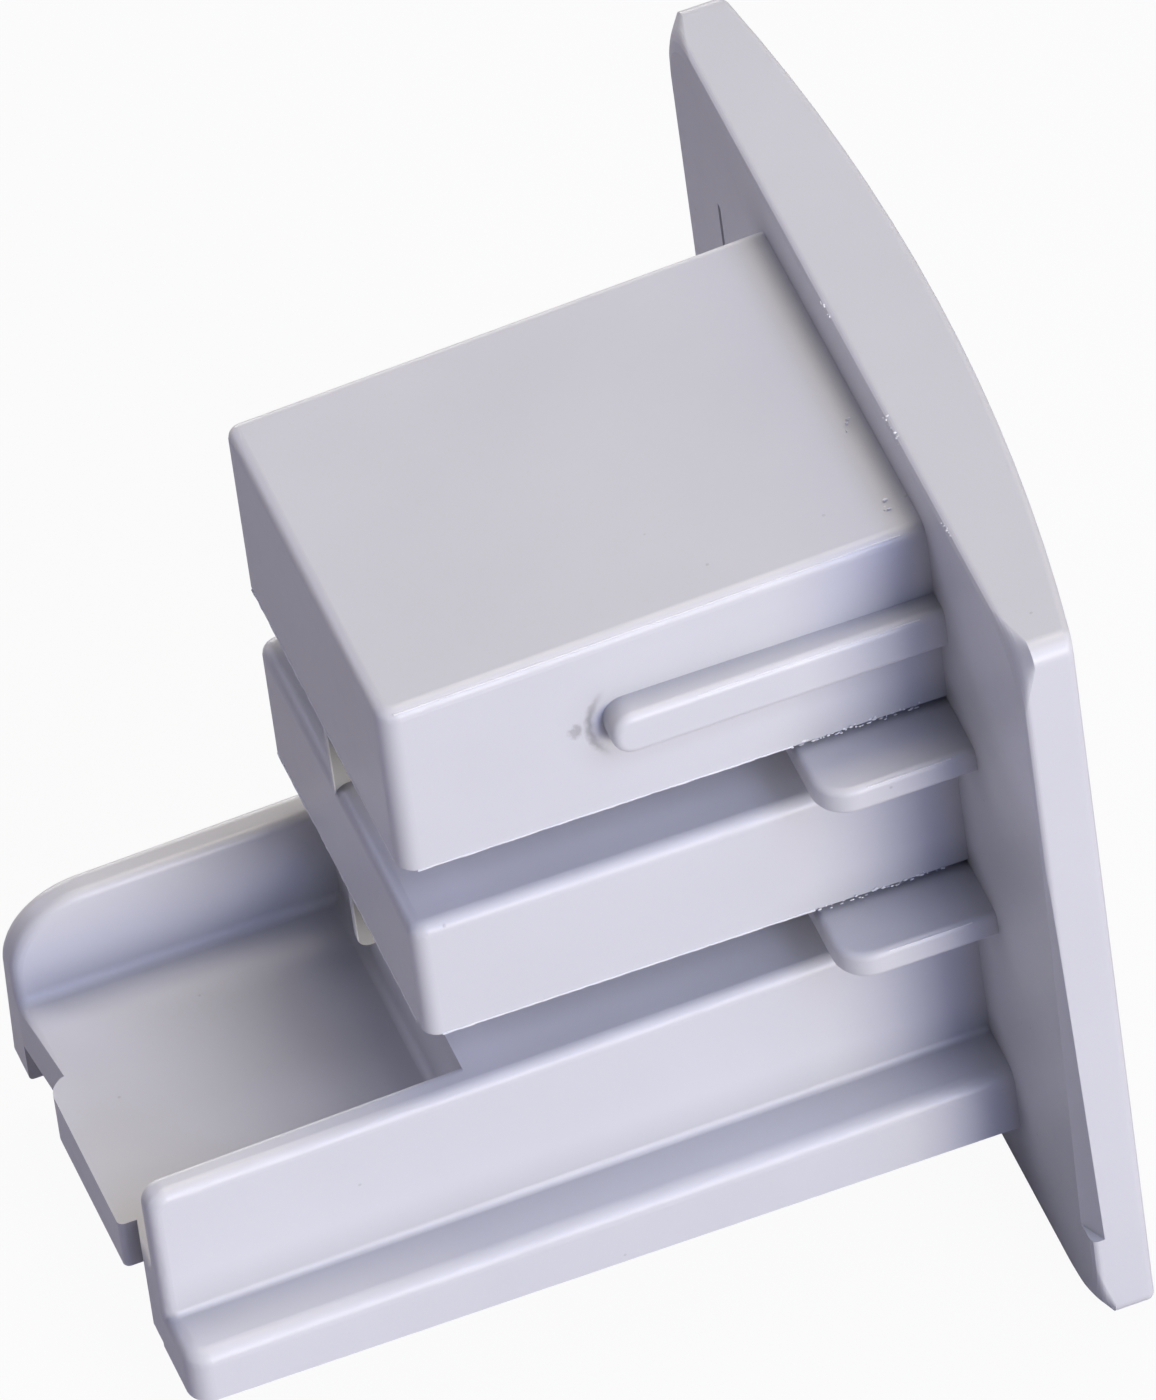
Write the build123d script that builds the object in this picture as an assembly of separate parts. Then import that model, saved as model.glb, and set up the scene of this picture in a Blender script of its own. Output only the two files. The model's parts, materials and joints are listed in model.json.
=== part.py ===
from build123d import *
import math
import os

# Profile end cap: one moulded piece that closes the end of a channel profile.
# Frame: the origin lies on the seat face of the cover plate, at mid width, level with
# the underside of the two feet. +X points out of the profile through the plate,
# -X runs along the plug into the profile, +Y is to the side without the foot ledge, +Z is up.
# All lengths are in millimetres.

# Cover plate
plate_width = 36.0           # across Y
plate_top_z = 31.75          # upper edge above the feet
plate_drop = 3.25            # lower edge below the feet
plate_front_thickness = 2.1  # along X at the edge beside the foot ledge
plate_back_thickness = 2.3   # along X at the other edge
plate_crown_thickness = 3.9  # along X at mid width
plate_corner = 0.8           # corner radius of the plate
plate_seat_corner = 3.0      # larger corner radius on the seat face
plate_seat_blend = 0.6       # depth over which that larger corner runs out
plate_seat_round = 0.3       # soft edge round the seat face
plate_rim_round = 0.3        # soft edge round the domed face

# Upper block, which fills the throat of the profile
block_front_y = -8.25
block_back_y = 8.35
block_front_draft = 0.25     # how much the side closes in towards the tip
block_back_draft = 0.1
block_length = 20.8
upper_bottom_z = 20.65
upper_top_z = 29.4
upper_top_fall = 0.65        # how much the top falls towards the tip
upper_edge_round = 0.5
upper_front_corner = 0.8     # upright corners at the tip
upper_back_corner = 0.55

# Lower block, between the two grooves
lower_bottom_z = 12.05
lower_top_z = 17.6
lower_edge_round = 0.55
lower_tip_corner = 0.65      # upright corners at the tip

# Web that joins the base and both blocks
web_front_y = 0.0
web_thickness = 4.0
web_taper = 4.0              # length of the tip end over which it thins
web_tip_thickness = 0.3
web_low_z = 9.05             # lower edge where it stands out over the trough
web_tip_corner = 0.5         # lower corner at the tip

# Base with the trough at its tip end
base_length = 31.95
base_top_z = 9.15
base_top_fall = 0.65         # how much the top falls towards the tip
base_front_y = -8.1
base_back_foot_y = 9.65      # outer face of the back wall at the feet
base_back_lean = 0.85        # how much that face leans in up to the top of the wall
base_tip_draft = 0.2         # how much each side closes in towards the tip
base_edge_round = 0.5        # outer edge along the top and round the tip of each wall
base_inner_round = 0.4       # inner edge of each wall beside the trough
base_foot_round = 0.2        # lower edge along the back foot
ledge_root_round = 0.25      # soft crease between the front wall and the foot ledge

trough_start = 19.4          # distance from the seat face to the end wall of the trough
trough_floor_z = 4.1
trough_front_wall = 1.45     # at the end wall
trough_back_wall = 1.5       # at the top of the wall
trough_wall_thinning = 0.3   # how much each wall thins towards the tip
trough_root_round = 0.4
front_wall_nose = 0.8        # upper corner of the front wall at the tip
back_wall_nose = 3.2         # upper corner of the back wall at the tip

# Foot ledge and the shallow channel between the feet
ledge_reach = 2.45           # how far the foot ledge stands out from the front wall
ledge_height = 2.9
ledge_top_fall = 0.6         # how much the ledge top falls towards the tip
ledge_edge_round = 0.6
ledge_tip_corner = 0.9
channel_depth = 1.85
channel_front_y = -6.0
channel_back_y = 7.4
floor_notch_depth = 0.35     # how far the floor draws back beside its tongue
floor_tongue_reach = 0.35    # how far the tongue stands out beyond the walls
floor_tongue_front_y = -4.5
floor_tongue_back_y = 3.3
floor_tongue_front_corner = 0.25
floor_tongue_back_corner = 0.9

# Cover tabs beside the plate, one at each groove on each side
tab_length = 5.9
tab_half_span = 11.0         # from mid width to the free edge of a tab
tab_thickness = 1.2
tab_drop = 0.25              # from the underside of the block above down to the tab
tab_corner = 1.4
tab_edge_round = 0.3

# Guide ribs on both sides of the upper block
rib_length = 12.7
rib_bottom_z = 24.1
rib_height = 1.9
rib_reach = 1.05
rib_tip_corner = 0.85
rib_edge_round = 0.35

# Marks of the mould on the seat face
slit_y = 13.6
slit_width = 0.3
slit_depth = 0.4
slit_top_z = 25.6
slit_length = 6.0
relief_depth = 0.5           # shallow relief that ends in a nick at the front edge
relief_width = 1.1
relief_bottom_z = 1.1
relief_height = 25.9

root = 0.8                   # how far the plug's pieces run into the plate
near = 0.01                  # two places closer than this count as one
seat_steps = 4               # layers that make the soft edge round the seat face


def section(x, corners):
    """Polygon across the plug at one place along X, from (y, z) corners."""
    points = [Vector(x, y, z) for y, z in corners]
    return Face(Wire.make_polygon(points, close=True))


def bar(corners, tip_corners, length):
    """Straight bar along -X from one polygon at the seat face to another at the tip."""
    return loft([section(0, corners), section(-length, tip_corners)], ruled=True)


def block(x_near, x_far, y_low, y_high, z_low, z_high):
    """Plain block that spans the given ranges."""
    body = Box(x_near - x_far, y_high - y_low, z_high - z_low)
    return Pos((x_near + x_far) / 2, (y_low + y_high) / 2, (z_low + z_high) / 2) * body


def middle(edge):
    """Middle point of an edge."""
    return edge.position_at(1 / 2)


def heading(edge):
    """How far an edge points along X, Y and Z at its middle, without the signs."""
    direction = edge.tangent_at(1 / 2)
    return Vector(abs(direction.X), abs(direction.Y), abs(direction.Z))


def runs_across(edge):
    """Whether an edge runs mostly along Y."""
    return heading(edge).Y > max(heading(edge).X, heading(edge).Z)


def upright_edges(body, x):
    """Edges of a body that stand on the plane at x and run mostly along Z, from front to back."""
    edges = [e for e in body.edges() if abs(middle(e).X - x) < near]
    edges = [e for e in edges if heading(e).Z > heading(e).Y]
    return sorted(edges, key=lambda edge: middle(edge).Y)


def crest_edges(body):
    """Edges round the top of a body, without the one at the seat face."""
    crest = body.faces().sort_by(lambda face: face.center().Z)[-1]
    return [e for e in crest.edges() if middle(e).X < -near or not runs_across(e)]


def rectangle(y_low, y_high, z_low, z_high):
    """Corners of an upright rectangle across the plug."""
    return [(y_low, z_low), (y_high, z_low), (y_high, z_high), (y_low, z_high)]


def plug_block(bottom_z, top_z, top_fall, front_corner, back_corner, edge_round):
    """One of the two blocks, with rounded top edges and tip corners and a sharp lower edge."""
    seat_end = rectangle(block_front_y, block_back_y, bottom_z, top_z)
    tip_front_y = block_front_y + block_front_draft
    tip_back_y = block_back_y - block_back_draft
    body = bar(seat_end, rectangle(tip_front_y, tip_back_y, bottom_z, top_z - top_fall), block_length)
    body = fillet(upright_edges(body, -block_length)[0], front_corner)
    body = fillet(upright_edges(body, -block_length)[-1], back_corner)
    return fillet(crest_edges(body), edge_round)


def plate_outline(x, corner, inset):
    """Outline of the cover plate at one place along X, drawn in by the inset all round."""
    outline = RectangleRounded(plate_width - 2 * inset, plate_top_z + plate_drop - 2 * inset, corner)
    return Plane.YZ.offset(x) * Pos(0, (plate_top_z - plate_drop) / 2) * outline


def seat_layer():
    """Layer of the plate behind the seat face, where its corners ease and its edge is soft."""
    layers = []
    for step in range(seat_steps + 1):
        share = step / seat_steps
        depth = plate_seat_round * share
        rise = math.sqrt(1 - (1 - share) ** 2)
        corner = plate_seat_corner + (plate_corner - plate_seat_corner) * depth / plate_seat_blend
        layers.append(plate_outline(depth, corner, plate_seat_round * (1 - rise)).face())
    layers.append(plate_outline(plate_seat_blend, plate_corner, 0).face())
    return loft(layers, ruled=True)


def cover_plate():
    """Plate with a flat seat face, eased seat corners and a face domed about the Z direction."""
    side_y = plate_width / 2
    arch = ThreePointArc(
        (plate_front_thickness, -side_y),
        (plate_crown_thickness, 0),
        (plate_back_thickness, side_y),
    )
    back = Polyline(arch @ 1, (plate_seat_blend, side_y), (plate_seat_blend, -side_y), arch @ 0)
    slab = Pos(0, 0, -plate_drop) * extrude(make_face(arch + back), amount=plate_top_z + plate_drop)
    outline = plate_outline(plate_seat_blend, plate_corner, 0)
    shell = slab & extrude(outline, amount=plate_crown_thickness, dir=(1, 0, 0))
    dome = shell.faces().sort_by(Axis.X)[-1]
    return fillet(dome.edges(), plate_rim_round) + seat_layer()


def relief():
    """Slanted sliver taken off the seat face beside the front edge."""
    edge_y = -plate_width / 2
    top = Vector(0, edge_y, relief_bottom_z + relief_height)
    low = Vector(0, edge_y, relief_bottom_z)
    inner = Vector(0, edge_y + relief_width, relief_bottom_z)
    deep = Vector(relief_depth, edge_y, relief_bottom_z)
    sides = [(top, low, inner), (top, low, deep), (top, inner, deep), (low, inner, deep)]
    return Solid(Shell([Face(Wire.make_polygon(side, close=True)) for side in sides]))


def base_outline(back, front, top):
    """Section of the base with its foot ledge's side left out."""
    return [(front, 0), (back, 0), (back - base_back_lean, top), (front, top)]


def trough_cutter():
    """Space of the trough, open at the top and at the tip."""
    front = base_front_y + trough_front_wall
    back = base_back_foot_y - base_back_lean - trough_back_wall
    tip_front = front + base_tip_draft - trough_wall_thinning
    tip_back = back - base_tip_draft + trough_wall_thinning
    over = base_top_z + root
    reach = base_length - trough_start + root
    deep_end = rectangle(front, back, trough_floor_z, over)
    body = Pos(-trough_start) * bar(deep_end, rectangle(tip_front, tip_back, trough_floor_z, over), reach)
    floor = body.faces().sort_by(lambda face: face.center().Z)[0]
    roots = [e for e in floor.edges() if middle(e).X > -trough_start - reach + near]
    return fillet(roots, trough_root_round)


def wall_rim(body, side, inner):
    """Edges along the top of one wall, round its nose and down its tip, on its inner or outer face."""
    foot_z = trough_floor_z + trough_root_round if inner else 0
    rim = [e for e in body.edges() if side * middle(e).Y > 0 and not runs_across(e)]
    rim = [e for e in rim if middle(e).Z > foot_z + near and middle(e).X < -near]
    rim = [e for e in rim if abs(middle(e).X + trough_start) > near]
    tip_edges = [e for e in upright_edges(body, -base_length) if side * middle(e).Y > 0]
    parting = sum(side * middle(e).Y for e in tip_edges) / len(tip_edges)
    return [e for e in rim if (side * middle(e).Y < parting) == inner]


def nose(body, side, radius):
    """Body with the upper corner at the tip of one wall rounded."""
    tip_top = Vector(-base_length, 0, base_top_z - base_top_fall)
    edges = [e for e in body.edges() if side * middle(e).Y > 0 and runs_across(e)]
    edges = [e for e in edges if abs(middle(e).X - tip_top.X) < near]
    edges = [e for e in edges if abs(middle(e).Z - tip_top.Z) < near]
    return fillet(edges, radius)


def base_block():
    """Base with the trough between its rounded walls, before the channel is cut."""
    back = base_back_foot_y
    tip_back = back - base_tip_draft
    tip_front = base_front_y + base_tip_draft
    outline = base_outline(back, base_front_y, base_top_z)
    tip_outline = base_outline(tip_back, tip_front, base_top_z - base_top_fall)
    body = bar(outline, tip_outline, base_length) - trough_cutter()
    body = nose(body, 1, back_wall_nose)
    body = nose(body, -1, front_wall_nose)
    body = fillet(wall_rim(body, 1, True) + wall_rim(body, -1, True), base_inner_round)
    body = fillet(wall_rim(body, 1, False) + wall_rim(body, -1, False), base_edge_round)
    sole = body.faces().sort_by(lambda face: face.center().Z)[0]
    return fillet(sole.edges().sort_by(Axis.Y)[-1], base_foot_round)


def foot_ledge():
    """Ledge along the foot of the front wall."""
    outer = base_front_y - ledge_reach
    tip_outer = outer + base_tip_draft
    inner = (base_front_y + channel_front_y) / 2
    seat_end = rectangle(outer, inner, 0, ledge_height)
    body = bar(seat_end, rectangle(tip_outer, inner, 0, ledge_height - ledge_top_fall), base_length)
    body = fillet(upright_edges(body, -base_length)[0], ledge_tip_corner)
    crest = body.faces().sort_by(lambda face: face.center().Z)[-1]
    outer_edges = [e for e in crest.edges() if middle(e).Y < inner - near and middle(e).X < -near]
    return fillet([e for e in outer_edges if middle(e).X > -base_length + near], ledge_edge_round)


def floor_notch(wall_y, tongue_y):
    """Wedge by which the end of the floor draws back from a wall towards the tongue."""
    tip = -base_length
    corners = [(tip, wall_y), (tip + floor_notch_depth, tongue_y)]
    corners += [(tip - root, tongue_y), (tip - root, wall_y)]
    outline = make_face(Polyline(*corners, close=True))
    height = trough_floor_z - channel_depth + 2 * root
    return Pos(0, 0, channel_depth - root) * extrude(outline, amount=height, dir=(0, 0, 1))


def floor_tongue():
    """Tongue by which the floor stands out beyond the walls."""
    tip = -base_length - floor_tongue_reach
    inside = -base_length + floor_notch_depth + root
    body = block(inside, tip, floor_tongue_front_y, floor_tongue_back_y, channel_depth, trough_floor_z)
    body = fillet(upright_edges(body, tip)[0], floor_tongue_front_corner)
    return fillet(upright_edges(body, tip)[-1], floor_tongue_back_corner)


def web():
    """Web between the base and both blocks, which thins and has a rounded lower corner at the tip."""
    tip = -block_length
    full_y = web_front_y + web_thickness
    plan = [(root, web_front_y), (root, full_y), (tip + web_taper, full_y)]
    plan += [(tip, web_front_y + web_tip_thickness), (tip, web_front_y)]
    tapered = extrude(make_face(Polyline(*plan, close=True)), amount=upper_top_z, dir=(0, 0, 1))
    upper_z = upper_bottom_z + root
    rise = [(root, trough_floor_z), (-trough_start, trough_floor_z), (-trough_start, web_low_z)]
    rise += [(tip, web_low_z), (tip, upper_z), (root, upper_z)]
    profile = make_face(Plane.XZ * Polyline(*rise, close=True))
    sheet = extrude(profile, amount=plate_width, both=True)
    tip_edges = [e for e in sheet.edges() if abs(middle(e).X - tip) < near and runs_across(e)]
    lower_corner = min(tip_edges, key=lambda edge: middle(edge).Z)
    return tapered & fillet(lower_corner, web_tip_corner)


def tab(block_bottom_z, side):
    """Cover tab that runs from the web out past the block, against the plate."""
    top = block_bottom_z - tab_drop
    web_middle = web_front_y + web_thickness / 2
    y_low = min(web_middle, side * tab_half_span)
    y_high = max(web_middle, side * tab_half_span)
    body = block(root, -tab_length, y_low, y_high, top - tab_thickness, top)
    free = max(upright_edges(body, -tab_length), key=lambda edge: side * middle(edge).Y)
    body = fillet(free, tab_corner)
    rim = [e for e in body.edges() if heading(e).Z < near and middle(e).X < root - near]
    return fillet([e for e in rim if side * (middle(e).Y - web_middle) > near], tab_edge_round)


def rib(side):
    """Guide rib on one side face of the upper block."""
    face_y = block_back_y if side > 0 else block_front_y
    outer = face_y + side * rib_reach
    inner = face_y - side * root
    rib_top_z = rib_bottom_z + rib_height
    body = block(root, -rib_length, min(outer, inner), max(outer, inner), rib_bottom_z, rib_top_z)
    tip = body.faces().sort_by(Axis.X)[0]
    body = fillet([e for e in tip.edges() if runs_across(e)], rib_tip_corner)
    face = body.faces().sort_by(lambda piece: side * piece.center().Y)[-1]
    return fillet([e for e in face.edges() if middle(e).X < root - near], rib_edge_round)


def wall_foot(body):
    """Long crease between the front wall and the foot ledge."""
    creases = [e for e in body.edges() if middle(e).Y < 0 and heading(e).X > heading(e).Z]
    creases = [e for e in creases if middle(e).Z > ledge_height - ledge_top_fall - near]
    creases = [e for e in creases if middle(e).Z < ledge_height + near and e.length > trough_start]
    return [e for e in creases if middle(e).Y > base_front_y - near]


# Base, with its trough, its channel and the tongue of its floor
base = base_block() + foot_ledge()
base = fillet(wall_foot(base), ledge_root_round)
base -= block(root, -base_length - root, channel_front_y, channel_back_y, -root, channel_depth)
base -= floor_notch(channel_back_y, floor_tongue_back_y)
base -= floor_notch(channel_front_y, floor_tongue_front_y)
base += floor_tongue()

# The two blocks
upper = plug_block(
    upper_bottom_z, upper_top_z, upper_top_fall, upper_front_corner, upper_back_corner, upper_edge_round
)
lower = plug_block(lower_bottom_z, lower_top_z, 0, lower_tip_corner, lower_tip_corner, lower_edge_round)

# Plate with its marks
slit_mid_z = slit_top_z - slit_length / 2
slit = Pos(0, slit_y, slit_mid_z) * Box(2 * slit_depth, slit_width, slit_length)
plate = cover_plate() - slit - relief()

end_cap = plate + base + lower + upper + web()
for direction in (-1, 1):
    end_cap += rib(direction)
    end_cap += tab(lower_bottom_z, direction)
    end_cap += tab(upper_bottom_z, direction)

os.makedirs("parts", exist_ok=True)
export_step(end_cap, "parts/end_cap.step")
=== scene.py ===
import json
import math

import bpy
from bpy.props import FloatProperty, FloatVectorProperty, IntProperty, PointerProperty
from mathutils import Matrix, Vector


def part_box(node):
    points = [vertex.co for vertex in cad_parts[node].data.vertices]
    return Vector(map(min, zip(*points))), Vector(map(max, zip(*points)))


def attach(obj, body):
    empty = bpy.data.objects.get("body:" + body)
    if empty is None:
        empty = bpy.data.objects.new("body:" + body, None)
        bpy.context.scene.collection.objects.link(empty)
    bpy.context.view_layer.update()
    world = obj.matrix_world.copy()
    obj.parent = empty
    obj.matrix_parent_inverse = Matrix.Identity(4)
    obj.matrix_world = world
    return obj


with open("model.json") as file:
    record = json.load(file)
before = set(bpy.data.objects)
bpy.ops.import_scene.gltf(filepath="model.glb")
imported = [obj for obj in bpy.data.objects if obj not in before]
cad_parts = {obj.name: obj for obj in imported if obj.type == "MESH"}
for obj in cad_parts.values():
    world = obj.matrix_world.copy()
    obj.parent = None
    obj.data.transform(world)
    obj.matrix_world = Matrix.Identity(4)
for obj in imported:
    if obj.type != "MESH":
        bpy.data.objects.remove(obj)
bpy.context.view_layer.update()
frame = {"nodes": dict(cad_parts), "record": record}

bl_info = {
    "name": "Profile End Cap",
    "version": (1, 0, 0),
    "blender": (4, 5, 0),
    "location": "View3D > Sidebar > End Cap",
    "description": "Dresses a moulded profile end cap and sets it in a small studio",
    "category": "Object",
}

MM = 0.001
CAP = "end_cap"
CAP_LOW, CAP_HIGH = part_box(CAP)
CAP_MIDDLE = (CAP_LOW + CAP_HIGH) / 2
RECORD_COLOUR = frame["record"]["materials"][0]["base_color"]

# Plastic
REFRACTION = 1.46
NOISE_MIDDLE = 0.5
CREASE_SAMPLES = 4
SCUFF_SIZE = 1.1 * MM
SCUFF_FADE = (0.5, 0.72)  # noise levels between which a scuff fades in
SCUFF_DULLNESS = 0.07
THROAT_FADE = (0.05 * MM, 0.4 * MM)  # distances from mid width over which the web's painted shade fades out

# Dust specks
SPECK_CORE = 0.4  # share of a speck's radius that is fully dark
SPECK_CUT = 0.72  # only cells above this level carry a speck
SPECK_DARKNESS = 0.16
SPECK_HEIGHT = 0.012  # in mm

# Scar and nick beside the rib
SCAR_RAG_SIZE = 0.22 * MM
SCAR_RAGGEDNESS = 0.9
SCAR_FADE = (0.7, 1.35)  # ragged radii, in half sizes of the scar, over which it fades out
SCAR_DULLNESS = 0.2
SCAR_SMOOTHING = 0.05  # depth of grain that the scar takes away, in mm
NICK_RAG_SIZE = 0.3 * MM
NICK_RAGGEDNESS = 0.22 * MM
NICK_REACH = (-1.02, -0.6)  # places along the rib, in radii of the nick, over which it fades out
NICK_SKIN = (0.3 * MM, 0.5 * MM)  # distances from the block's face over which it fades out
NICK_DEPTH = 0.06  # in mm

# Flash
RIDGE_SIDES = 6
RIDGE_SWAY_SIZE = 1.3 * MM
RIDGE_SWELL_SIZE = 0.5 * MM
RIDGE_SWELL = 2.0
RIDGE_SHRINK = 0.2  # taken off the swell, so that a ridge thins out in places
TIP_MARGINS = 2  # tip margins between the front face and the ridge on a block's end face
TAB_MARGINS = 3  # tip margins between a tab's free end and the painted highlight line on its edge
CRUMB_SUBDIVISIONS = 2
CRUMB_SMALLEST = (0.3, 0.25, 0.25)  # stretch of a crumb in X, Y and Z
CRUMB_LARGEST = (1.7, 0.9, 0.9)
# Rows on the plate's top edge: name, middle and half length along Y, in mm
PLATE_CRUMBS = (("plate_a", 1.2, 0.5), ("plate_b", -5.3, 0.7), ("plate_c", -10.8, 0.4))
PLATE_CRUMB_INSET = 0.09 * MM
# Rows on the upper block's top: name and two ends in X and Y, in mm
BLOCK_CRUMBS = (
    ("block_a", (-0.7, -2.1), (-0.8, -3.1)),
    ("block_b", (-0.9, -6.4), (-0.95, -6.9)),
)
BLOCK_CRUMB_SINK = 0.02 * MM

# Studio
LAMPS = ("high", "front", "low", "top", "rear", "back")
WHITE = (1, 1, 1, 1)
FLOOR_GAP = 0.02 * MM
SENSOR_HEIGHT = 36  # in mm
CLIP_NEAR = 0.05
CLIP_FAR = 20


# ---- kinds of property -----------------------------------------------------------

def length(name, description, default):
    """Property for a length or a level, from its default in mm."""
    return FloatProperty(name=name, description=description, default=default * MM, unit="LENGTH")


def spot(name, description, default):
    """Property for a place or three half sizes, from its default in mm."""
    return FloatVectorProperty(
        name=name, description=description, subtype="XYZ", size=3, unit="LENGTH",
        default=[part * MM for part in default],
    )


def share(name, description, default, largest=1.0):
    """Property for a share, from 0 to its largest value."""
    return FloatProperty(
        name=name, description=description, default=default, min=0, max=largest, subtype="FACTOR",
    )


def angle(name, description, degrees):
    """Property for an angle, from its default in degrees."""
    return FloatProperty(
        name=name, description=description, default=math.radians(degrees), unit="ROTATION",
    )


def tint(name, description, default, largest=1.0):
    """Property for a colour."""
    return FloatVectorProperty(
        name=name, description=description, subtype="COLOR", size=3, min=0, max=largest,
        default=default,
    )


def light_colour(name, default):
    """Property for the light that one lamp gives."""
    description = "Light on a face turned to the lamp, where 1 shows a colour as it is written"
    return tint(name, description, default, 2.0)


def light_angles(name, elevation, azimuth):
    """Property for where one lamp stands, from its angles in degrees."""
    return FloatVectorProperty(
        name=name, description="Height of the lamp, and its turn from the front towards the plate",
        size=2, unit="ROTATION", default=(math.radians(elevation), math.radians(azimuth)),
    )


# ---- sizes and colours -----------------------------------------------------------

class MouldedPlastic(bpy.types.PropertyGroup):
    """Finish of the satin plastic, with the shade painted into its creases and on the web in the
    grooves.
    """

    colour: tint("Colour", "Colour of the plastic", RECORD_COLOUR[:3])
    clouding: share("Clouding", "How much the tone drifts over the moulding", 0.035, 0.3)
    cloud_size: length("Cloud size", "Width of the patches of tone", 7)
    roughness: share("Roughness", "Mean roughness of the skin", 0.36)
    roughness_drift: share("Roughness drift", "How much the roughness varies", 0.08, 0.5)
    grain_size: length("Grain size", "Width of the fine mould grain", 0.16)
    grain_depth: length("Grain depth", "Depth of the fine mould grain", 0.0025)
    sink_size: length("Sink size", "Width of the shallow sink waves", 3.2)
    sink_depth: length("Sink depth", "Depth of the shallow sink waves", 0.02)
    crease_depth: length("Crease depth", "How far the painted shade reaches out of a crease", 1.9)
    crease_darkness: share(
        "Crease darkness", "How much the painted shade darkens the deepest creases", 0.42,
    )
    crease_dullness: share("Crease dullness", "How much rougher the deepest creases are", 0.3)
    throat_low: length("Throat low", "Lowest level of the web between the grooves", 8.9)
    throat_high: length("Throat high", "Highest level of the web between the grooves", 20.6)
    throat_tip: length("Throat tip", "Place of the web's tip", -20.75)
    throat_darkness: share(
        "Throat darkness", "How much the painted shade darkens the web deep in the grooves", 0.4,
    )
    # The flash's whiter colour is a painted highlight, and the same whiter material draws the
    # highlight lines on rounded edges.
    flash_highlight_colour: tint(
        "Flash colour", "Colour of the thin flash, which looks whiter", (0.9, 0.9, 0.93),
    )
    speck_spacing: length("Speck spacing", "Distance between dust specks", 1.5)
    speck_size: length("Speck size", "Radius of a dust speck", 0.09)


class GateScar(bpy.types.PropertyGroup):
    """Small rubbed mark and curved nick beside the closed end of the front guide rib; the nick's
    darkening is painted shade.
    """

    place: spot("Place", "Middle of the mark", (-13.75, -8.1, 24.95))
    reach: spot("Reach", "Half sizes of the mark", (0.4, 0.5, 0.5))
    darkness: share("Darkness", "How much the mark darkens the plastic", 0.3)
    nick_centre: spot(
        "Nick centre", "Middle of the circle that the curved nick follows", (-11.2, -8.1, 24.9),
    )
    nick_radius: length("Nick radius", "Radius of that circle", 2.05)
    nick_width: length("Nick width", "Half width of the nick", 0.27)
    # The nick's darkening is painted shade in its hollow.
    nick_painted_shade: share("Nick darkness", "How much the nick darkens the plastic", 0.4)


class FlashLine(bpy.types.PropertyGroup):
    """Fine ridges and crumbs of flash that the mould leaves along its parting edges, and thin
    ridges on rounded edges that are painted highlight lines.
    """

    tip_x: length("Tip", "End faces of the blocks", -20.8)
    tip_margin: length("Tip margin", "How far the ridges stop before the tip's corners", 0.6)
    tab_x: length("Tabs", "Free ends of the cover tabs", -5.9)
    plate_x: length("Plate", "Where the ridges stop before the plate", -0.9)
    front_y: length("Front", "Front faces of the blocks at the plate", -8.25)
    back_y: length("Back", "Back faces of the blocks at the tip", 8.25)
    draft: FloatProperty(
        name="Draft", description="Slope of the front faces towards the tip", default=0.01202,
    )
    upper_z: length("Upper edge", "Lower edge of the upper block", 20.65)
    lower_z: length("Lower edge", "Lower edge of the lower block", 12.05)
    top_z: length("Top", "Top of the upper block at the plate", 29.4)
    top_slope: FloatProperty(
        name="Top slope", description="Slope of that top towards the tip", default=0.03125,
    )
    rib_x: length("Rib start", "Where the line on the rib starts", -9.4)
    rib_y: length("Rib front", "Front face of the rib", -9.3)
    rib_z: length("Rib top", "Top of the rib", 26)
    tab_y: length("Tab edge", "Front edge of the cover tabs", -11)
    tab_drop: length("Tab drop", "From the block's lower edge down to a tab", 0.25)
    radius: length("Radius", "Half thickness of a ridge", 0.05)
    # The lines on rounded edges are painted highlight lines.
    edge_inset: length(
        "Edge inset", "How far the line on the block's rounded edge lies inside its corner", 0.146,
    )
    rib_inset: length(
        "Rib inset", "How far the line on the rib's rounded edge lies inside its corner", 0.1,
    )
    tab_inset: length(
        "Tab inset", "How far the line on a tab's rounded edge lies inside its corner", 0.085,
    )
    highlight_line: length("Witness line", "Half thickness of a line on a rounded edge", 0.035)
    wander: length("Wander", "How far a ridge strays from its edge", 0.03)
    step: length("Step", "Distance between the bends of a ridge", 0.15)
    crumb_spacing: length("Crumb spacing", "Distance between crumbs", 0.12)
    crumb_radius: length("Crumb radius", "Mean radius of a crumb", 0.065)
    crumb_wander: length("Crumb wander", "How far a crumb strays from its line", 0.1)
    seed: IntProperty(name="Seed", description="Seed of the irregular shapes", default=7)


class Studio(bpy.types.PropertyGroup):
    """Light and floor."""

    high: light_colour("High front", (0.218, 0.231, 0.301))
    high_angles: light_angles("High front from", 45, 30)
    front: light_colour("Front", (0.156, 0.186, 0.347))
    front_angles: light_angles("Front from", 20, 10)
    low: light_colour("Low front", (0.618, 0.57, 0.396))
    low_angles: light_angles("Low front from", 8, 20)
    top: light_colour("Top", (0.389, 0.358, 0.287))
    top_angles: light_angles("Top from", 74, 135)
    rear: light_colour("Rear", (0.117, 0.115, 0.16))
    rear_angles: light_angles("Rear from", 30, 225)
    back: light_colour("Back", (0.3, 0.3, 0.3))
    back_angles: light_angles("Back from", 8, 180)
    softness: angle("Softness", "Width of each lamp as the cap sees it", 26)
    sky: tint("Sky", "Light from all round", (0.0, 0.0, 0.0))
    floor_colour: tint(
        "Floor", "Colour of the floor for the light it throws back", (0.47, 0.455, 0.52),
    )
    floor_white: share("Floor white", "Share of plain white in the floor as it is seen", 0.95)
    floor_gloss: share(
        "Floor in reflections", "Share of plain white in the floor as reflections show it", 0.1,
    )
    floor_size: length("Floor size", "Side of the floor", 4000)


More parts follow.
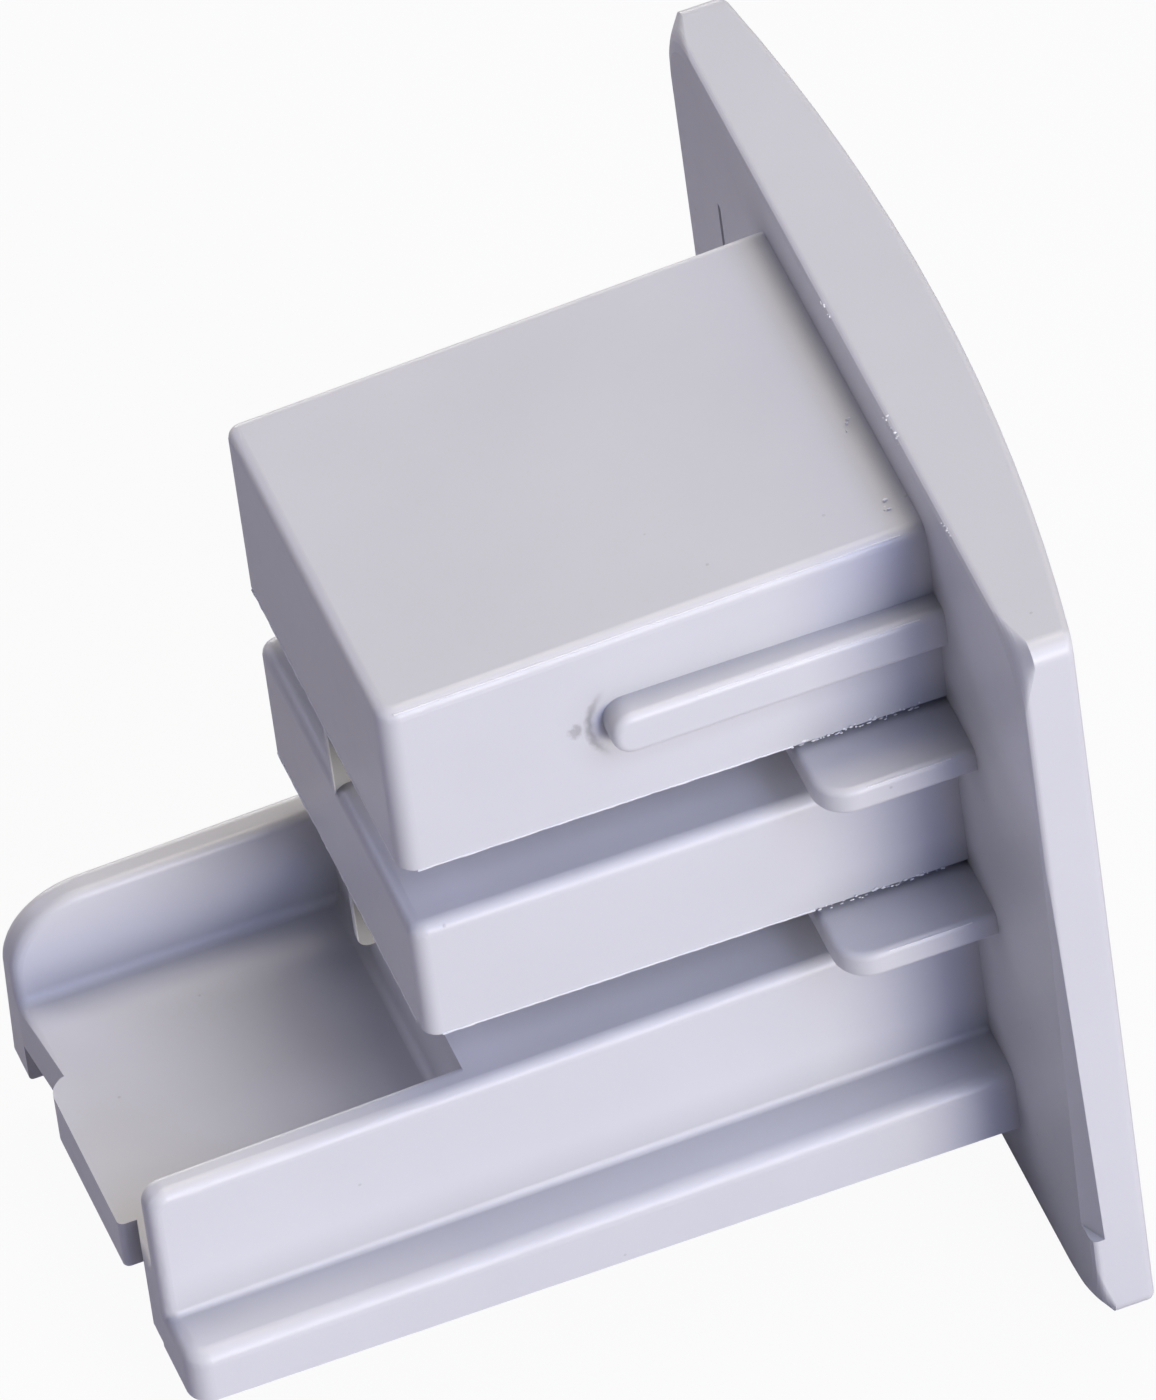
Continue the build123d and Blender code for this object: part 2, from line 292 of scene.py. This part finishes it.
class Viewpoint(bpy.types.PropertyGroup):
    """Where the camera stands."""

    azimuth: angle("Azimuth", "0 looks along +Y", -14.593)
    elevation: angle("Elevation", "Height of the view", 46.217)
    roll: angle("Roll", "Turn of the camera about its own line of sight", -8.196)
    distance: length("Distance", "From the middle of the view to the camera", 1039.5)
    lens: FloatProperty(
        name="Lens", description="Focal length on a 36 mm high sensor, in mm", default=741.5,
    )
    aside: length("Aside", "How far the view's middle lies to the right of the cap's", 2.28)
    above: length("Above", "How far the view's middle lies above the cap's", 3.32)


# ---- node building ---------------------------------------------------------------

class Sum:
    """Number on a node socket that takes part in Python expressions."""

    def __init__(self, graph, socket):
        self.graph = graph
        self.socket = socket

    def maths(self, operation, *values, clamp=False):
        """The result of that operation on the values."""
        settings = {"operation": operation, "use_clamp": clamp}
        return self.graph.out("ShaderNodeMath", settings, dict(enumerate(values)))

    def __add__(self, other):
        return self.maths("ADD", self, other)

    __radd__ = __add__

    def __sub__(self, other):
        return self.maths("SUBTRACT", self, other)

    def __rsub__(self, other):
        return self.maths("SUBTRACT", other, self)

    def __mul__(self, other):
        return self.maths("MULTIPLY", self, other)

    __rmul__ = __mul__

    def __pow__(self, other):
        return self.maths("POWER", self, other)

    def __gt__(self, other):
        return self.maths("GREATER_THAN", self, other)

    def absolute(self):
        """The number without its sign."""
        return self.maths("ABSOLUTE", self)

    def clamped(self):
        """The number kept between 0 and 1."""
        return self.maths("ADD", self, 0.0, clamp=True)


class Graph:
    """Adds nodes to one tree."""

    def __init__(self, tree):
        self.tree = tree

    def add(self, kind, settings=None, sockets=None):
        """Node of that type, with its settings set first and then its sockets filled or linked."""
        node = self.tree.nodes.new(kind)
        for name, value in (settings or {}).items():
            setattr(node, name, value)
        for place, value in (sockets or {}).items():
            if isinstance(value, Sum):
                value = value.socket
            if isinstance(value, bpy.types.NodeSocket):
                self.tree.links.new(value, node.inputs[place])
            else:
                node.inputs[place].default_value = value
        return node

    def out(self, kind, settings=None, sockets=None, output=0):
        """Output of a new node as a number for sums."""
        return Sum(self, self.add(kind, settings, sockets).outputs[output])

    def ramp(self, value, low, high):
        """Smooth step from 0 at low to 1 at high."""
        settings = {"interpolation_type": "SMOOTHSTEP"}
        sockets = {0: value, 1: low, 2: high, 3: 0.0, 4: 1.0}
        return self.out("ShaderNodeMapRange", settings, sockets)

    def noise(self, place, size, detail):
        """Noise from 0 to 1 with patches of that size."""
        sockets = {"Vector": place, "Scale": 1 / size, "Detail": detail}
        return self.out("ShaderNodeTexNoise", sockets=sockets)

    def vector(self, operation, first, second):
        """The result of that operation on two vectors."""
        settings = {"operation": operation}
        return self.add("ShaderNodeVectorMath", settings, {0: first, 1: second}).outputs[0]

    def scaled(self, vector, factor):
        """The vector or colour times a number."""
        sockets = {0: vector, "Scale": factor}
        return self.add("ShaderNodeVectorMath", {"operation": "SCALE"}, sockets).outputs[0]

    def parts(self, vector):
        """The three parts of a vector as numbers for sums."""
        outputs = self.add("ShaderNodeSeparateXYZ", sockets={0: vector}).outputs
        return [Sum(self, output) for output in outputs]


def new_material(name):
    """Empty material and the graph of its nodes."""
    material = bpy.data.materials.new(name)
    material.use_nodes = True
    material.node_tree.nodes.clear()
    return material, Graph(material.node_tree)


def new_shape(name, inputs):
    """Empty geometry tree with those inputs: its graph, and what it is given."""
    tree = bpy.data.node_groups.new(name, "GeometryNodeTree")
    for label, kind in inputs.items():
        tree.interface.new_socket(label, in_out="INPUT", socket_type="NodeSocket" + kind)
    tree.interface.new_socket("Geometry", in_out="OUTPUT", socket_type="NodeSocketGeometry")
    graph = Graph(tree)
    return graph, graph.add("NodeGroupInput").outputs


def end_shape(graph, geometry, material):
    """End a geometry tree in plain geometry that wears the material."""
    real = graph.add("GeometryNodeRealizeInstances", sockets={0: geometry})
    sockets = {"Geometry": real.outputs[0], "Material": material}
    done = graph.add("GeometryNodeSetMaterial", sockets=sockets)
    graph.add("NodeGroupOutput", sockets={0: done.outputs[0]})


# ---- plastic ---------------------------------------------------------------------

def scar_mask(graph, place, scar):
    """1 inside the rubbed mark, falling to 0 at its ragged edge."""
    offset = graph.vector("SUBTRACT", place, tuple(scar.place))
    scaled = graph.vector("DIVIDE", offset, tuple(scar.reach))
    radius = graph.out("ShaderNodeVectorMath", {"operation": "LENGTH"}, {0: scaled}, 1)
    ragged = graph.noise(place, SCAR_RAG_SIZE, 2.0)
    return 1 - graph.ramp(radius + ragged * SCAR_RAGGEDNESS, *SCAR_FADE)


def nick_mask(graph, place, scar):
    """1 along the curved nick beside the closed end of the rib, which is pressed in by the bump and
    darkened with painted shade.
    """
    offset = graph.vector("SUBTRACT", place, tuple(scar.nick_centre))
    along, across, height = graph.parts(offset)
    uneven = graph.noise(place, NICK_RAG_SIZE, 2.0) - NOISE_MIDDLE
    distance = (along * along + height * height) ** 0.5 + uneven * NICK_RAGGEDNESS
    ring = 1 - graph.ramp((distance - scar.nick_radius).absolute(), 0, scar.nick_width)
    full, gone = (reach * scar.nick_radius for reach in NICK_REACH)
    closed_end = 1 - graph.ramp(along, full, gone)
    skin = 1 - graph.ramp(across.absolute(), *NICK_SKIN)
    return ring * closed_end * skin


def throat_shade_mask(graph, place, finish):
    """1 where shade is painted on the web's front face, deep in the grooves between the blocks."""
    along, across, height = graph.parts(place)
    near_web = 1 - graph.ramp(across.absolute(), *THROAT_FADE)
    below_top = 1 - (height > finish.throat_high)
    return near_web * (along > finish.throat_tip) * (height > finish.throat_low) * below_top


def speck_mask(graph, place, finish):
    """1 on the few cells that carry a speck of dust."""
    sockets = {"Vector": place, "Scale": 1 / finish.speck_spacing}
    cells = graph.add("ShaderNodeTexVoronoi", sockets=sockets).outputs
    chance = graph.out("ShaderNodeSeparateColor", sockets={0: cells["Color"]})
    radius = finish.speck_size / finish.speck_spacing
    near = 1 - graph.ramp(cells["Distance"], SPECK_CORE * radius, radius)
    return near * (chance > SPECK_CUT)


def plastic_material(name, colour, finish, scar):
    """Pale satin plastic with mould grain, faint clouds, dust specks, painted shade in creases and
    on the web in the grooves, and the scar with its painted nick shade.
    """
    material, graph = new_material(name)
    place = graph.add("ShaderNodeTexCoord").outputs["Object"]
    clouds = graph.noise(place, finish.cloud_size, 4.0)
    grain = graph.noise(place, finish.grain_size, 3.0)
    sinks = graph.noise(place, finish.sink_size, 1.0)
    scuffs = graph.noise(place, SCUFF_SIZE, 5.0)
    mark = scar_mask(graph, place, scar)
    nick = nick_mask(graph, place, scar)
    specks = speck_mask(graph, place, finish)
    # Painted shade: an Ambient Occlusion node darkens the colour in creases, and the throat mask
    # darkens the web's front face deep in the grooves.
    hollow = {"samples": CREASE_SAMPLES, "only_local": True}
    reach = {"Distance": finish.crease_depth}
    hidden = 1 - graph.out("ShaderNodeAmbientOcclusion", hollow, reach, "AO")
    throat_shade = throat_shade_mask(graph, place, finish)
    shade = (1 - hidden * finish.crease_darkness) * (1 - throat_shade * finish.throat_darkness)
    # The nick's darkening is painted shade; the scar and specks are marks on the plastic.
    marks_and_nick_shade = mark * scar.darkness + nick * scar.nick_painted_shade + specks * SPECK_DARKNESS
    tone = (1 + (clouds - NOISE_MIDDLE) * (2 * finish.clouding) - marks_and_nick_shade) * shade
    rubbed = graph.ramp(scuffs, *SCUFF_FADE)
    roughness = (
        finish.roughness
        + (clouds - NOISE_MIDDLE) * finish.roughness_drift
        + rubbed * SCUFF_DULLNESS
        + mark * SCAR_DULLNESS
        + hidden * finish.crease_dullness
    )
    height = (
        grain * (finish.grain_depth / MM)
        + sinks * (finish.sink_depth / MM)
        - mark * grain * SCAR_SMOOTHING
        - nick * NICK_DEPTH
        + specks * SPECK_HEIGHT
    )
    sockets = {"Strength": 1.0, "Distance": MM, "Height": height}
    bump = graph.add("ShaderNodeBump", sockets=sockets)
    shader = graph.add("ShaderNodeBsdfPrincipled", sockets={
        "Base Color": graph.scaled(tuple(colour), tone),
        "Roughness": roughness.clamped(),
        "Normal": bump.outputs[0],
        "IOR": REFRACTION,
    })
    graph.add("ShaderNodeOutputMaterial", sockets={"Surface": shader.outputs[0]})
    return material


# ---- flash -----------------------------------------------------------------------

def ridge_tree():
    """Geometry nodes for one irregular ridge between two points: flash, or a painted highlight
    line.
    """
    graph, given = new_shape("flash_ridge", {
        "Start": "Vector", "End": "Vector", "Radius": "Float", "Wander": "Float", "Step": "Float",
        "Seed": "Float", "Material": "Material",
    })
    ends = {"Start": given["Start"], "End": given["End"]}
    line = graph.add("GeometryNodeCurvePrimitiveLine", sockets=ends)
    spaced = {"Curve": line.outputs[0], "Length": given["Step"]}
    points = graph.add("GeometryNodeResampleCurve", {"mode": "LENGTH"}, spaced)
    seeded = {"noise_dimensions": "4D"}
    swaying = {"W": given["Seed"], "Scale": 1 / RIDGE_SWAY_SIZE, "Detail": 2.0}
    sway = graph.add("ShaderNodeTexNoise", seeded, swaying).outputs["Color"]
    centred = graph.vector("SUBTRACT", sway, (NOISE_MIDDLE, NOISE_MIDDLE, NOISE_MIDDLE))
    strayed = {"Geometry": points.outputs[0], "Offset": graph.scaled(centred, given["Wander"])}
    moved = graph.add("GeometryNodeSetPosition", sockets=strayed)
    swelling = {"W": given["Seed"], "Scale": 1 / RIDGE_SWELL_SIZE, "Detail": 3.0}
    swell = graph.out("ShaderNodeTexNoise", seeded, swelling)
    sized = graph.add("GeometryNodeSetCurveRadius", sockets={
        "Curve": moved.outputs[0],
        "Radius": (swell * RIDGE_SWELL - RIDGE_SHRINK).clamped(),
    })
    ring = graph.add("GeometryNodeCurvePrimitiveCircle", sockets={
        "Resolution": RIDGE_SIDES,
        "Radius": given["Radius"],
    })
    tube = graph.add("GeometryNodeCurveToMesh", sockets={
        "Curve": sized.outputs[0],
        "Profile Curve": ring.outputs[0],
        "Scale": graph.out("GeometryNodeInputRadius"),
        "Fill Caps": True,
    })
    end_shape(graph, tube.outputs[0], given["Material"])
    return graph.tree


def crumb_tree():
    """Geometry nodes for loose crumbs of flash along a line."""
    graph, given = new_shape("flash_crumbs", {
        "Start": "Vector", "End": "Vector", "Radius": "Float", "Spacing": "Float",
        "Wander": "Float", "Seed": "Int", "Material": "Material",
    })
    ends = {"Start": given["Start"], "End": given["End"]}
    line = graph.add("GeometryNodeCurvePrimitiveLine", sockets=ends)
    spaced = {"Curve": line.outputs[0], "Length": given["Spacing"]}
    points = graph.add("GeometryNodeCurveToPoints", {"mode": "LENGTH"}, spaced)
    drawn = {"data_type": "FLOAT_VECTOR"}
    either_side = {0: (-1, -1, -1), 1: (1, 1, 1), "Seed": given["Seed"]}
    scatter = graph.add("FunctionNodeRandomValue", drawn, either_side).outputs[0]
    strayed = {"Geometry": points.outputs[0], "Offset": graph.scaled(scatter, given["Wander"])}
    moved = graph.add("GeometryNodeSetPosition", sockets=strayed)
    crumb = graph.add("GeometryNodeMeshIcoSphere", sockets={
        "Radius": given["Radius"],
        "Subdivisions": CRUMB_SUBDIVISIONS,
    })
    sizes = {0: CRUMB_SMALLEST, 1: CRUMB_LARGEST, "Seed": given["Seed"]}
    stretch = graph.add("FunctionNodeRandomValue", drawn, sizes)
    copies = graph.add("GeometryNodeInstanceOnPoints", sockets={
        "Points": moved.outputs[0],
        "Instance": crumb.outputs[0],
        "Scale": stretch.outputs[0],
    })
    end_shape(graph, copies.outputs[0], given["Material"])
    return graph.tree


def grown(name, tree, values):
    """Plain mesh object that a geometry node tree makes from the given values."""
    seed_mesh = bpy.data.meshes.new(name + "_seed")
    carrier = bpy.data.objects.new(name + "_carrier", seed_mesh)
    bpy.context.scene.collection.objects.link(carrier)
    modifier = carrier.modifiers.new("grow", "NODES")
    modifier.node_group = tree
    for item in tree.interface.items_tree:
        if item.in_out == "INPUT":
            modifier[item.identifier] = values[item.name]
    depsgraph = bpy.context.evaluated_depsgraph_get()
    mesh = bpy.data.meshes.new_from_object(carrier.evaluated_get(depsgraph))
    bpy.data.objects.remove(carrier)
    piece = bpy.data.objects.new(name, mesh)
    mesh.name = name
    bpy.context.scene.collection.objects.link(piece)
    return piece


def block_edges(flash):
    """Name and height of the lower edge of each block."""
    return (("upper", flash.upper_z), ("lower", flash.lower_z))


def flash_and_highlight_ridges(flash):
    """Name, two ends and half thickness of every ridge: flash along the blocks' lower edges and
    tips, and painted highlight lines on the rounded top, rib and tab edges.
    """
    def front(x, inset, z):
        return (x, flash.front_y - x * flash.draft + inset, z)

    def top(x):
        return front(x, flash.edge_inset, flash.top_z + x * flash.top_slope - flash.edge_inset)

    start = flash.tip_x + flash.tip_margin
    tab_start = flash.tab_x + TAB_MARGINS * flash.tip_margin
    tip_front = flash.front_y + TIP_MARGINS * flash.tip_margin
    tip_back = flash.back_y - flash.tip_margin
    rib_place = (flash.rib_y + flash.rib_inset, flash.rib_z - flash.rib_inset)
    # The top, rib and tab ridges are painted highlight lines: thin whiter ridges along rounded
    # edges where the light catches them.
    ridges = [
        ("top", top(start), top(flash.plate_x), flash.highlight_line),
        ("rib", (flash.rib_x, *rib_place), (flash.plate_x, *rib_place), flash.highlight_line),
    ]
    for name, z in block_edges(flash):
        tab_place = (flash.tab_y + flash.tab_inset, z - flash.tab_drop - flash.tab_inset)
        tip = ((flash.tip_x, tip_front, z), (flash.tip_x, tip_back, z))
        tab = ((tab_start, *tab_place), (flash.plate_x, *tab_place))
        ridges += [
            (name + "_front", front(start, 0, z), front(flash.tab_x, 0, z), flash.radius),
            (name + "_tip", *tip, flash.radius),
            (name + "_tab", *tab, flash.highlight_line),
        ]
    return ridges


def flash_crumbs(flash):
    """Name and two ends of every row of crumbs."""
    rows = []
    for name, z in block_edges(flash):
        start = (flash.tab_x, flash.front_y - flash.tab_x * flash.draft, z)
        rows.append((name, start, (flash.plate_x, flash.front_y, z)))
    edge_z = CAP_HIGH.z - PLATE_CRUMB_INSET
    for name, middle, half in PLATE_CRUMBS:
        ends = ((PLATE_CRUMB_INSET, y * MM, edge_z) for y in (middle - half, middle + half))
        rows.append((name, *ends))
    top_z = flash.top_z - BLOCK_CRUMB_SINK
    for name, start, end in BLOCK_CRUMBS:
        rows.append((name, *((x * MM, y * MM, top_z) for x, y in (start, end))))
    return rows


# ---- studio ----------------------------------------------------------------------

def background_rays(graph, gloss):
    """How white the background is for a ray: 1 if seen or through glass, gloss if reflected."""
    rays = graph.add("ShaderNodeLightPath").outputs
    straight = Sum(graph, rays["Is Camera Ray"]) + rays["Is Transmission Ray"]
    return (straight + Sum(graph, rays["Is Glossy Ray"]) * gloss).clamped()


def floor_material(studio):
    """Pale floor that keeps the shadow and looks white to the camera."""
    material, graph = new_material("floor_pale")
    colour = (*studio.floor_colour, 1)
    matt = graph.add("ShaderNodeBsdfDiffuse", sockets={"Color": colour})
    white = graph.add("ShaderNodeEmission", sockets={"Color": WHITE, "Strength": 1.0})
    mix = graph.add("ShaderNodeMixShader", sockets={
        0: background_rays(graph, studio.floor_gloss) * studio.floor_white,
        1: matt.outputs[0],
        2: white.outputs[0],
    })
    graph.add("ShaderNodeOutputMaterial", sockets={"Surface": mix.outputs[0]})
    return material


def light_world(studio):
    """Even light from all round, and plain white behind everything."""
    world = bpy.data.worlds.new("studio")
    world.use_nodes = True
    world.node_tree.nodes.clear()
    graph = Graph(world.node_tree)
    sky = (*studio.sky, 1)
    soft = graph.add("ShaderNodeBackground", sockets={"Color": sky, "Strength": 1.0})
    white = graph.add("ShaderNodeBackground", sockets={"Color": WHITE, "Strength": 1.0})
    mix = graph.add("ShaderNodeMixShader", sockets={
        0: background_rays(graph, 1.0),
        1: soft.outputs[0],
        2: white.outputs[0],
    })
    graph.add("ShaderNodeOutputWorld", sockets={"Surface": mix.outputs[0]})
    bpy.context.scene.world = world


def facing(azimuth, elevation):
    """Direction away from the cap, from its turn out of the front and its height."""
    return Vector((
        math.sin(azimuth) * math.cos(elevation),
        -math.cos(azimuth) * math.cos(elevation),
        math.sin(elevation),
    ))


def add_soft_light(name, colour, angles, softness):
    """Wide distant lamp that gives that light on a face turned to it."""
    level = max(colour)
    lamp = bpy.data.lights.new(name, "SUN")
    lamp.angle = softness
    lamp.energy = math.pi * level
    lamp.color = [part / level for part in colour]
    light = bpy.data.objects.new(name, lamp)
    elevation, azimuth = angles
    light.rotation_euler = facing(azimuth, elevation).to_track_quat("Z", "Y").to_euler()
    bpy.context.scene.collection.objects.link(light)


def add_camera(view):
    """Camera that looks at the cap from the given side."""
    sight = facing(view.azimuth, view.elevation)
    level_right = Vector((0, 0, 1)).cross(sight).normalized()
    level_up = sight.cross(level_right)
    right = level_right * math.cos(view.roll) + level_up * math.sin(view.roll)
    up = sight.cross(right)
    data = bpy.data.cameras.new("camera")
    data.sensor_fit = "VERTICAL"
    data.sensor_height = SENSOR_HEIGHT
    data.lens = view.lens
    data.clip_start = CLIP_NEAR
    data.clip_end = CLIP_FAR
    camera = bpy.data.objects.new("camera", data)
    camera.location = CAP_MIDDLE + right * view.aside + up * view.above + sight * view.distance
    camera.rotation_euler = Matrix((right, up, sight)).transposed().to_euler()
    bpy.context.scene.collection.objects.link(camera)
    bpy.context.scene.camera = camera


# ---- operators -------------------------------------------------------------------

class ENDCAP_OT_moulding(bpy.types.Operator):
    """Give the moulded cap its satin plastic"""

    bl_idname = "endcap.moulding"
    bl_label = "Finish the moulding"

    def execute(self, context):
        scene = context.scene
        cap = frame["nodes"][CAP]
        finish = scene.cap_plastic
        material = plastic_material("plastic_satin", finish.colour, finish, scene.cap_scar)
        cap.data.materials.clear()
        cap.data.materials.append(material)
        return {"FINISHED"}


class ENDCAP_OT_flash(bpy.types.Operator):
    """Add the fine flash that the mould leaves along the parting edges, and painted highlight lines
    on rounded edges
    """

    bl_idname = "endcap.flash"
    bl_label = "Add flash"

    def execute(self, context):
        scene = context.scene
        flash = scene.cap_flash
        finish = scene.cap_plastic
        # Whiter plastic as a painted highlight, for the flash and the highlight lines.
        colour = finish.flash_highlight_colour
        material = plastic_material("plastic_flash", colour, finish, scene.cap_scar)
        ridge = ridge_tree()
        crumbs = crumb_tree()
        for number, (name, start, end, radius) in enumerate(flash_and_highlight_ridges(flash)):
            piece = grown("flash_" + name, ridge, {
                "Start": start, "End": end, "Radius": radius, "Wander": flash.wander,
                "Step": flash.step, "Seed": float(flash.seed + number), "Material": material,
            })
            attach(piece, "root")
        for number, (name, start, end) in enumerate(flash_crumbs(flash)):
            piece = grown("crumbs_" + name, crumbs, {
                "Start": start, "End": end, "Radius": flash.crumb_radius,
                "Spacing": flash.crumb_spacing, "Wander": flash.crumb_wander,
                "Seed": flash.seed + number, "Material": material,
            })
            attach(piece, "root")
        return {"FINISHED"}


class ENDCAP_OT_studio(bpy.types.Operator):
    """Set up the floor, the lights and the camera"""

    bl_idname = "endcap.studio"
    bl_label = "Set up the studio"

    def execute(self, context):
        scene = context.scene
        studio = scene.cap_studio
        half = studio.floor_size / 2
        level = CAP_LOW.z - FLOOR_GAP
        sides = ((-half, -half), (half, -half), (half, half), (-half, half))
        mesh = bpy.data.meshes.new("floor")
        mesh.from_pydata([(x, y, level) for x, y in sides], [], [(0, 1, 2, 3)])
        mesh.materials.append(floor_material(studio))
        floor = bpy.data.objects.new("floor", mesh)
        scene.collection.objects.link(floor)
        light_world(studio)
        for name in LAMPS:
            colour, angles = getattr(studio, name), getattr(studio, name + "_angles")
            add_soft_light(name, colour, angles, studio.softness)
        add_camera(scene.cap_view)
        scene.view_settings.view_transform = "Standard"
        return {"FINISHED"}


class ENDCAP_PT_panel(bpy.types.Panel):
    """Steps that finish the end cap"""

    bl_label = "Profile End Cap"
    bl_idname = "ENDCAP_PT_panel"
    bl_space_type = "VIEW_3D"
    bl_region_type = "UI"
    bl_category = "End Cap"

    def draw(self, context):
        for operator in OPERATORS:
            self.layout.operator(operator.bl_idname)
        for name in PROPERTIES:
            group = getattr(context.scene, name)
            box = self.layout.box()
            for item in group.bl_rna.properties:
                if item.identifier not in {"rna_type", "name"}:
                    box.prop(group, item.identifier)


OPERATORS = (ENDCAP_OT_moulding, ENDCAP_OT_flash, ENDCAP_OT_studio)
PROPERTIES = {
    "cap_plastic": MouldedPlastic,
    "cap_scar": GateScar,
    "cap_flash": FlashLine,
    "cap_studio": Studio,
    "cap_view": Viewpoint,
}


def register():
    for group in PROPERTIES.values():
        bpy.utils.register_class(group)
    for name, group in PROPERTIES.items():
        setattr(bpy.types.Scene, name, PointerProperty(type=group))
    for operator in OPERATORS:
        bpy.utils.register_class(operator)
    bpy.utils.register_class(ENDCAP_PT_panel)


def unregister():
    bpy.utils.unregister_class(ENDCAP_PT_panel)
    for operator in reversed(OPERATORS):
        bpy.utils.unregister_class(operator)
    for name, group in PROPERTIES.items():
        delattr(bpy.types.Scene, name)
        bpy.utils.unregister_class(group)


def main():
    register()
    bpy.ops.endcap.moulding()
    bpy.ops.endcap.flash()
    bpy.ops.endcap.studio()


if __name__ == "__main__":
    main()
